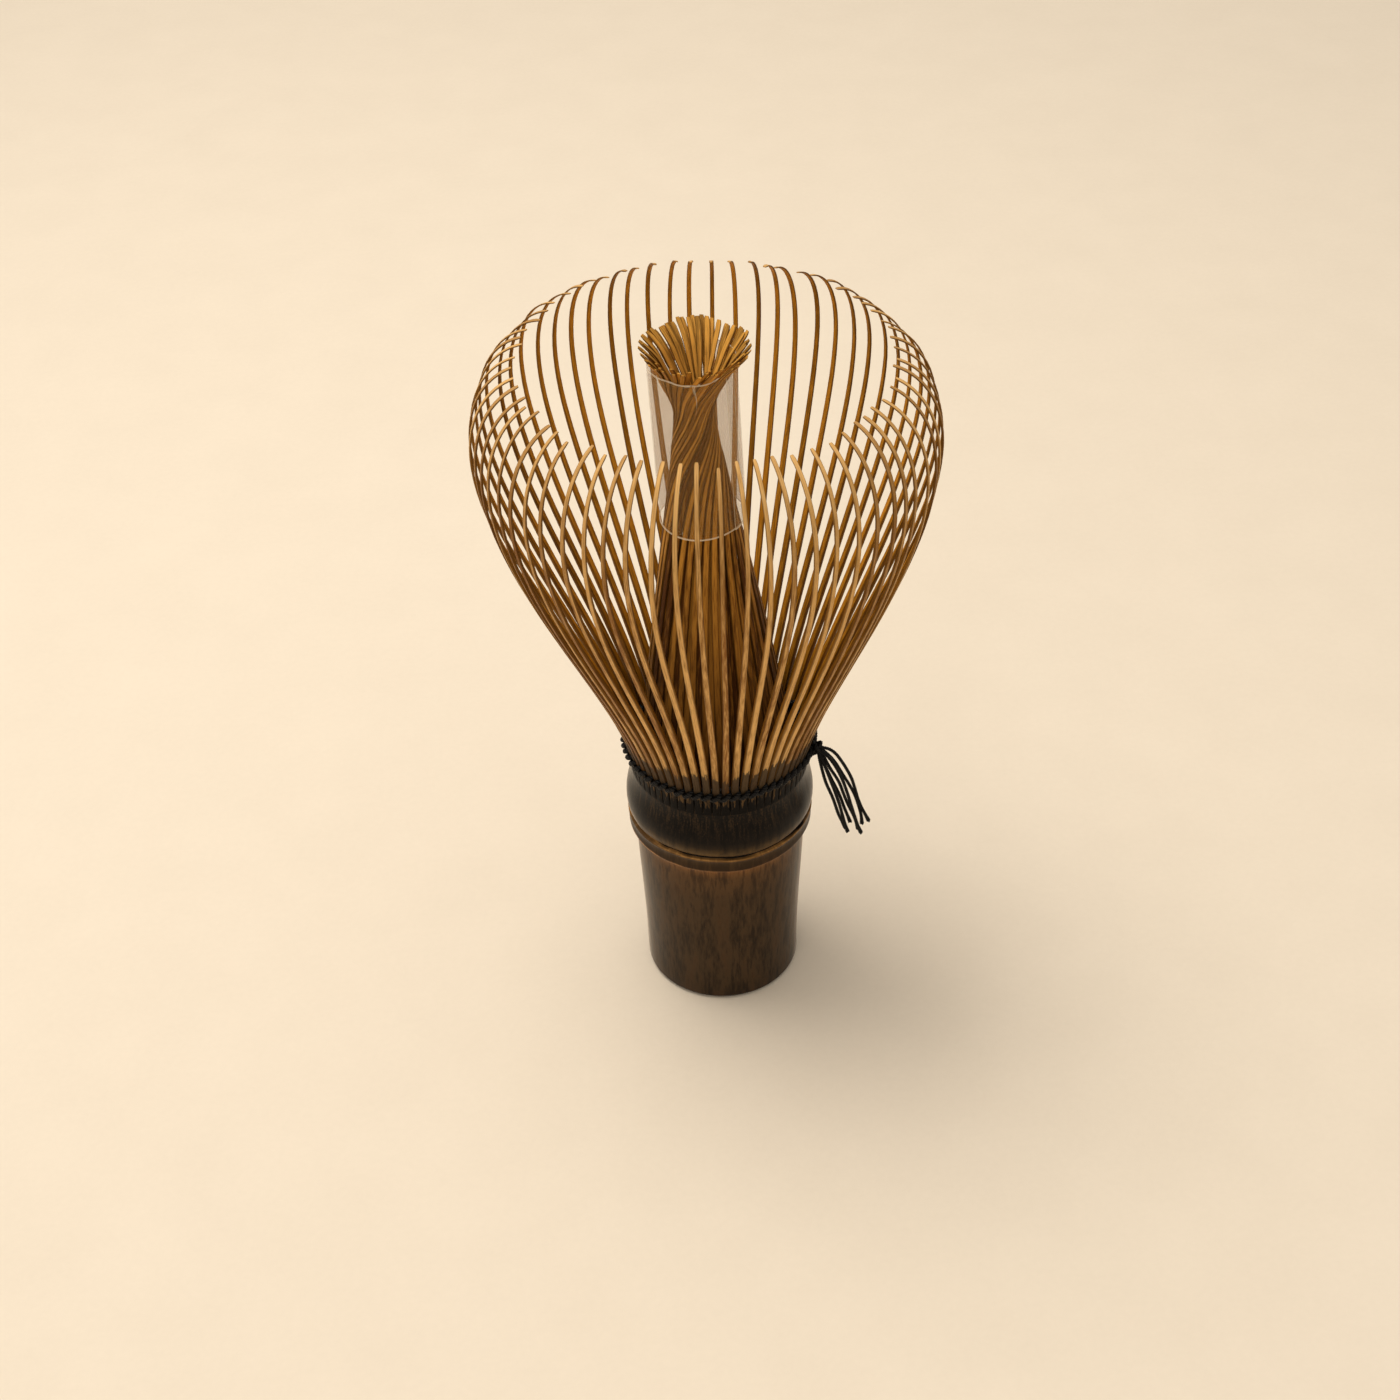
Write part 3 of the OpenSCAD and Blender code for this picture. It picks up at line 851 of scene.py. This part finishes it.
def handle_profile():
    """From the axis under the joint, round the outside, to the axis above the joint."""
    profile = [(0, SEPTUM_LOW), (HOLLOW_R * 0.6, SEPTUM_LOW), (HOLLOW_R, SEPTUM_LOW), (HOLLOW_R, 15)]
    profile += [(HOLLOW_R, 0.5), (HOLLOW_R + 0.15, 0.12), (HOLLOW_R + 0.4, 0), (9, 0)]
    profile += arc((11.1, 0.9), 0.9, -90, 0)
    profile += curve((12, 0.9), (12.05, 12), (12.8, 20), (13.0, 28.0), steps=18)
    profile += curve((13.0, 28.0), (13.05, 29.2), (13.3, 29.75), (14.02, 29.92))
    profile += curve((14.02, 29.92), (14.18, 30.02), (13.98, 30.5), (13.96, 31.1), steps=6)
    profile += curve((13.96, 31.1), (13.95, 31.8), (14.1, 31.95), (14.2, 32.1), steps=5)
    profile += arc((14.02, 32.22), 0.18, -30, 90, 5)
    profile += curve((14.02, 32.4), (13.75, 32.42), (13.68, 32.5), (13.68, 32.64), steps=4)
    profile += curve((13.68, 32.64), (13.68, 32.85), (13.85, 32.86), (14.02, 33.1), steps=5)
    profile += curve((14.02, 33.1), (14.3, 33.7), (14.42, 34.6), (14.3, 35.9), steps=9)
    profile += curve((14.3, 35.9), (14.1, 37.8), (13.5, 38.6), (WAIST_R, BASE), steps=10)
    profile += [(WAIST_R - 0.6, BASE), (THROAT_R + 0.3, BASE), (THROAT_R, BASE - 0.3), (THROAT_R, 36)]
    profile += [(THROAT_R, SEPTUM_HIGH), (5, SEPTUM_HIGH - 0.05), (0, SEPTUM_HIGH - 0.1)]
    return profile


def wobble(radius, height, angle):
    """The small wander of a real culm: out of round, with a joint that is not quite level."""
    around = Vector((math.cos(angle), math.sin(angle), height * 0.02))
    outer = min(max((radius - THROAT_R) / 1.5, 0), 1)
    near_joint = math.exp(-(((height - RIDGE_Z) / 3) ** 2))
    out = noise.noise(around * 1.3) * 0.09 + noise.noise(around * 9) * 0.02
    lift = noise.noise(around * 1.7 + Vector((5, 0, 0))) * 0.3 * near_joint
    foot = min(height / 2, 1)
    top = min(max(BASE - height, 0) / 2, 1)
    return out * outer * foot * top, lift * outer


def turned(profile, around):
    """A closed solid of revolution from a profile that starts and ends on the axis."""
    points, faces = [], []
    for radius, height in profile[1:-1]:
        for k in range(around):
            angle = 2 * math.pi * k / around
            out, lift = wobble(radius, height, angle)
            r = (radius + out) * MM
            points.append((r * math.cos(angle), r * math.sin(angle), (height + lift) * MM))
    rings = len(profile) - 2
    for ring in range(rings - 1):
        for k in range(around):
            a, b = ring * around + k, ring * around + (k + 1) % around
            faces.append((a, b, b + around, a + around))
    first, last = len(points), len(points) + 1
    points += [(0, 0, profile[0][1] * MM), (0, 0, profile[-1][1] * MM)]
    top = (rings - 1) * around
    for k in range(around):
        faces.append((first, (k + 1) % around, k))
        faces.append((last, top + k, top + (k + 1) % around))
    return points, faces


def add_webs(points, faces):
    """Webs between the tines' feet, where the slits end at uneven heights."""
    chance = random.Random(5)
    for k in range(TINES):
        middle = 2 * math.pi * k / TINES
        half = WEB_WIDTH / 2 / WAIST_R
        height = chance.uniform(0.2, 2.9) * (1.2 if chance.random() < 0.2 else 1)
        first = len(points)
        for radius, z in ((12.5, -0.3), (13.47, -0.3), (13.44, height), (12.5, height * 0.7)):
            for angle in (middle - half, middle + half):
                r = radius * MM
                points.append((r * math.cos(angle), r * math.sin(angle), (BASE + z) * MM))
        a, b, c, d, e, f, g, h = range(first, first + 8)
        faces += [(a, c, d, b), (c, e, f, d), (e, g, h, f), (g, a, b, h), (a, g, e, c), (b, d, f, h)]


def mesh_object(name, points, faces, material, sharp=35):
    """An object with one finish, smooth except at edges sharper than that many degrees."""
    mesh = bpy.data.meshes.new(name)
    mesh.from_pydata(points, [], faces)
    mesh.materials.append(material)
    mesh.shade_smooth()
    mesh.set_sharp_from_angle(angle=math.radians(sharp))
    piece = bpy.data.objects.new(name, mesh)
    bpy.context.scene.collection.objects.link(piece)
    return piece


print("the handle's profile has", len(handle_profile()), "points")

# %% [markdown]
# ### Smoked culm
# Smoke and age turn the culm's skin nearly black, and handling polishes it back to brown. The fibres show
# through as long upright streaks. The joint's ridge is rubbed to tan, its groove keeps the dark, and
# copper shows where the stem meets the joint. All of it depends on the height and on the way round.

# %% Finish: smoked culm
CULM_R = 13
INSIDE_R = 10.9
RAMP_TOP = 50
CULM_TONES = [
    (0, (32, 22, 13)), (1, (58, 43, 27)), (5, (62, 47, 30)), (22.5, (68, 51, 32)),
    (27.5, (86, 62, 37)), (28.9, (116, 80, 44)), (29.4, (140, 94, 52)), (29.8, (200, 146, 92)),
    (30.125, (52, 36, 20)), (31, (56, 40, 22)), (31.9, (62, 45, 24)), (32.225, (104, 75, 40)),
    (32.4, (160, 118, 66)), (32.525, (70, 48, 25)), (32.625, (6, 4, 2)), (33, (8, 5, 3)),
    (33.225, (84, 64, 34)), (34.2, (70, 53, 29)), (35, (38, 28, 16)), (36, (17, 12, 8)),
    (41, (14, 10, 7)), (44, (17, 13, 9)), (50, (30, 23, 17)),
]


def smoked_culm():
    """The culm's tones go by height in mm. Streaks, soot and specks are laid over them."""
    finish = Finish(
        "smoked culm",
        {
            "Specular IOR Level": 0.03, "Coat Weight": 0.75, "Coat Roughness": 0.25, "Coat IOR": 1.18,
            "Sheen Weight": 0.75, "Sheen Roughness": 0.16, "Sheen Tint": (0.9, 0.76, 0.6, 1),
        },
    )
    x, y, z = finish.parts(finish.place)
    height = z / MM
    radius = (x * x + y * y) ** 0.5 + 1e-6
    around_x, around_y = x / radius * CULM_R, y / radius * CULM_R
    fine = finish.noise(finish.vector(around_x, around_y, height * 0.16), 2.2, 4.0, 0.6)
    broad = finish.noise(finish.vector(around_x, around_y, height * 0.2), 0.5, 3.0, 0.6)
    mottle = finish.noise(finish.vector(around_x, around_y, height * 0.22), 0.9, 4.0, 0.65)
    specks = finish.noise(finish.vector(around_x, around_y, height * 0.6), 5.0, 2.0, 0.7)
    wander = (finish.noise(finish.vector(around_x, around_y, 3.0), 0.22, 2.0) - 0.5) * 0.9
    stops = [(mm / RAMP_TOP, linear(*tone)) for mm, tone in CULM_TONES]
    share = finish.math("MINIMUM", (height + wander) / RAMP_TOP, 1.0)
    bands = finish.add("ShaderNodeValToRGB", {"stops": stops}, {"Fac": share})[0]
    joint = finish.rise(height, 28.8, 29.6) * finish.rise(34.2 - height, 0.0, 0.8)
    streaks = finish.rise(fine * 0.34 + broad * 0.3 + mottle * 0.36, 0.38, 0.62)
    streaks = finish.math("MAXIMUM", streaks, joint * 0.45)
    dull, bright = finish.multiply(bands, (0.46, 0.42, 0.38)), finish.multiply(bands, (1.5, 1.42, 1.3))
    colour = finish.blend(streaks, dull, bright)
    red = finish.rise(broad * 0.55 + mottle * 0.45, 0.5, 0.7) * (1 - joint)
    colour = finish.blend(red * finish.rise(34 - height, 0.0, 2.0) * 0.32, colour, linear(104, 68, 36))
    soot = finish.rise(mottle * 0.4 + broad * 0.35 + fine * 0.25, 0.5, 0.66) * (1 - joint)
    colour = finish.blend(soot * 0.5, colour, linear(24, 16, 10))
    slit_ends = finish.rise(height, 34.5, 40.5) * finish.rise(fine * 0.6 + specks * 0.4, 0.46, 0.64)
    colour = finish.blend(slit_ends * 0.42, colour, linear(84, 62, 38))
    pale = finish.rise(specks, 0.7, 0.82)
    colour = finish.blend(pale * 0.3, colour, linear(126, 96, 62))
    end_grain = finish.blend(specks, linear(72, 50, 30), linear(140, 104, 64))
    colour = finish.blend(finish.rise(0.08 * MM - z, 0.0, 0.04 * MM) * 0.8, colour, end_grain)
    hollow_wall = finish.blend(fine, linear(84, 58, 32), linear(130, 94, 54))
    colour = finish.blend(finish.rise(INSIDE_R * MM - radius, 0.0, 0.3 * MM) * 0.9, colour, hollow_wall)
    finish.set("Base Color", colour)
    finish.set("Roughness", 0.36 + fine * 0.2 + soot * 0.12)
    finish.bump(fine * 0.7 + specks * 0.3, 0.035 * MM)
    return finish.material


culm = smoked_culm()
print("the culm's finish has", len(CULM_TONES), "tones from the foot up")

# %% Handle
handle_points, handle_faces = turned(handle_profile(), AROUND)
add_webs(handle_points, handle_faces)
handle = mesh_object("handle_culm", handle_points, handle_faces, culm)
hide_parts("handle")
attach(handle, "whisk")
print("the handle has", triangles(handle), "triangles")

# %% [markdown]
# ## The sleeve
# The sleeve is a strip of clear film rolled into a tube. Its ends overlap along one side, its rim is a
# little wavy, and it has a short split at the top of its front. A cylinder would be too clean, so a grid of
# points is rolled up instead, with its thickness added last. The film is milky, and its cut edges get their
# own finish, with a painted highlight that makes them bright.

# %% Sleeve shape
SLEEVE_OUTER_R = 6.2
SLEEVE_SHIFT = 0.15
RIM = 0.2
SLEEVE_LENGTH = 25.4
SLEEVE_START = 45.0
FILM = 0.13
OVERLAP = math.radians(20)
SEAM = math.radians(-42)
SPLIT = math.radians(-87)
SPLIT_DEPTH = 4.2
LAYER_GAP = 0.01
ROWS = 28
COLUMNS = 150


def on_sleeve(radius, angle, height):
    """A point given round and along the sleeve's own axis, which leans with the bundle."""
    tilt = math.atan(LEAN)
    x, y = radius * math.cos(angle) + SLEEVE_SHIFT, radius * math.sin(angle)
    up = SLEEVE_START + height
    leaning = (x * math.cos(tilt) - up * math.sin(tilt), y, BASE + x * math.sin(tilt) + up * math.cos(tilt))
    return Vector(leaning) * MM


def rolled_sheet():
    """The film's middle surface, from its outer end at the seam round to its inner end under it.
    The first and last rows are the rims, which get the painted highlight."""
    total = 2 * math.pi + OVERLAP
    split_at = (SPLIT - SEAM) % (2 * math.pi)
    stops = sorted([total * k / COLUMNS for k in range(COLUMNS + 1)] + [split_at])
    split_column = stops.index(split_at)
    points, faces, index = [], [], {}
    for column, turn in enumerate(stops):
        for row in range(ROWS + 1):
            share = min(max((row - 1) / (ROWS - 2), RIM / SLEEVE_LENGTH), 1 - RIM / SLEEVE_LENGTH)
            share = {0: 0.0, ROWS: 1.0}.get(row, share)
            height = SLEEVE_LENGTH * share
            angle = SEAM + turn
            wave = 0.2 * math.sin(2 * angle + 0.6) + 0.12 * math.sin(5 * angle) + 0.06 * math.sin(11 * angle)
            height += wave * share**3 * 0.8 - 0.1 * math.sin(3 * angle + 1) * (1 - share) ** 3
            radius = SLEEVE_OUTER_R - FILM / 2 - LAYER_GAP - (FILM + LAYER_GAP) * turn / total
            radius += 0.02 * math.sin(3 * angle + height * 0.2) - 0.02
            torn = max(0, (height - (SLEEVE_LENGTH - SPLIT_DEPTH)) / SPLIT_DEPTH) * (column == split_column)
            sides = (-1, 1) if torn > 0 else (0,)
            for side in sides:
                opening = side * 0.012 * torn * (1 + 0.8 * torn)
                curl = (0.3 if side > 0 else 0.05) * torn**2
                drift = 0.02 * math.sin(torn * 5)
                index[column, row, side] = len(points)
                points.append(on_sleeve(radius + curl, angle + opening + drift, height))
    for column in range(len(stops) - 1):
        for row in range(ROWS):
            corners = [
                index.get((column, row, 1), index.get((column, row, 0))),
                index.get((column + 1, row, -1), index.get((column + 1, row, 0))),
                index.get((column + 1, row + 1, -1), index.get((column + 1, row + 1, 0))),
                index.get((column, row + 1, 1), index.get((column, row + 1, 0))),
            ]
            faces.append(tuple(corners))
    return points, faces


film_width = (SLEEVE_OUTER_R - FILM) * (2 * math.pi + OVERLAP)
print("laid flat, the film is", round(film_width), "mm by", SLEEVE_LENGTH, "mm")

# %% [markdown]
# ### Clear film
# The film shows as a thin milky veil. Its back has more cover than its front, and is painted lighter as
# painted light, while its front is painted darker as painted shade. Glass would be too clear and too bright
# for it, so it is a pale surface with a low alpha. Its cut edges get a painted highlight.

# %% Finish: clear film, and its cut edge
def clear_film(name, front, back, rough):
    """front and back are the film's tone and its cover, from 0 to 1, on its two sides, so that one side can
    carry painted light and the other painted shade.
    """
    finish = Finish(name, {"Specular IOR Level": 0.5, "IOR": 1.45, "Roughness": rough})
    x, y, z = finish.parts(finish.place)
    # Painted light and shade: the film behind the axis takes the back's lighter tone, as lit, and the film
    # in front takes the front's darker tone, as shaded.
    behind = finish.rise(y, -2.5 * MM, 1.5 * MM)
    cloud = finish.noise(finish.place, 320.0, 3.0, 0.6)
    scuffs = finish.noise(finish.vector(x * 900, y * 900, z * 60), 1.0, 3.0, 0.6)
    finish.set("Base Color", finish.blend(behind, front[0], back[0]))
    finish.set("Alpha", finish.mix_number(front[1], back[1], behind) * (0.92 + 0.16 * cloud))
    finish.bump(scuffs, 0.004 * MM)
    return finish.material


# The front tone is painted shade and the back tone is painted light.
film = clear_film("clear film", (linear(170, 130, 74), 0.13), (linear(242, 214, 172), 0.26), 0.3)
# The rim tone is a painted highlight for the cut edges, with more cover.
rim_tone = (linear(255, 236, 200), 0.45)
film_edge = clear_film("film edge", rim_tone, rim_tone, 0.35)
print("the film's finishes are ready")

# %% Sleeve
film_points, film_faces = rolled_sheet()
sleeve = mesh_object("sleeve_film", film_points, film_faces, film, sharp=50)
sleeve.data.materials.append(film_edge)
# The rim rows take the film edge finish, with its painted highlight.
for number, polygon in enumerate(sleeve.data.polygons):
    if number % ROWS in (0, ROWS - 1):
        polygon.material_index = 1
thicken = sleeve.modifiers.new("film", "SOLIDIFY")
thicken.thickness = FILM * MM
thicken.offset = 0
thicken.use_even_offset = True
thicken.material_offset_rim = 1
sleeve.data = applied(sleeve)
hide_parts("sleeve")
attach(sleeve, "sleeve")
print("the sleeve has", triangles(sleeve), "triangles")

# %% [markdown]
# ## Floor and light
# The whisk stands on a warm pale floor, so wide that its edge is far off in every view. One large soft
# light hangs high behind it on the left, so its shadow falls softly to the front right. A weaker one in
# front lightens the shaded side.

# %% Floor
def pale_floor():
    finish = Finish("pale floor", {"Roughness": 0.75, "Specular IOR Level": 0.2})
    grain = finish.noise(finish.place, 900.0, 3.0, 0.6)
    clouds = finish.noise(finish.place, 60.0, 4.0, 0.6)
    paper = grain * 0.4 + clouds * 0.6
    finish.set("Base Color", finish.blend(paper, linear(234, 218, 193), linear(246, 230, 205)))
    finish.bump(grain, 0.01 * MM)
    return finish.material


FLOOR = 20
floor_corners = [(-FLOOR, -FLOOR, 0), (FLOOR, -FLOOR, 0), (FLOOR, FLOOR, 0), (-FLOOR, FLOOR, 0)]
floor = mesh_object("floor", floor_corners, [(0, 1, 2, 3)], pale_floor())
print("the floor is", 2 * FLOOR, "m square")


# %% Lights
WARM_WHITE = (1.0, 0.965, 0.93)


def soft_light(name, place, target, size, power):
    """A round lamp that size across, turned towards its target."""
    data = bpy.data.lights.new(name, "AREA")
    data.shape = "DISK"
    data.size = size
    data.energy = power
    data.color = WARM_WHITE
    lamp = bpy.data.objects.new(name, data)
    lamp.location = place
    lamp.rotation_euler = (Vector(target) - Vector(place)).to_track_quat("-Z", "Y").to_euler()
    bpy.context.scene.collection.objects.link(lamp)


soft_light("key light", (-0.19, 0.1, 0.66), (0, 0.07, 0), 0.42, 2.75)
soft_light("front fill", (-0.3, -0.9, 0.5), (0, 0, 0.06), 0.9, 1.2)
print("two lamps are hung")

# %% [markdown]
# ### World
# The rest of the light comes from the world. It is brighter overhead than at the horizon, as a room is
# under a pale ceiling.

# %% World
HORIZON, OVERHEAD = 0.25, 0.635

world = bpy.data.worlds.new("studio")
world.use_nodes = True
sky = Tree(world.node_tree)
direction = sky.add("ShaderNodeTexCoord")["Generated"]
overhead = sky.rise(sky.parts(direction)[2], -0.1, 0.9)
backdrop = world.node_tree.nodes["Background"]
backdrop.inputs["Color"].default_value = (*WARM_WHITE, 1)
sky.plug(sky.mix_number(HORIZON, OVERHEAD, overhead), backdrop.inputs["Strength"])
bpy.context.scene.world = world
bpy.context.scene.view_settings.view_transform = "Standard"
print("the world's strength goes from", HORIZON, "to", OVERHEAD)
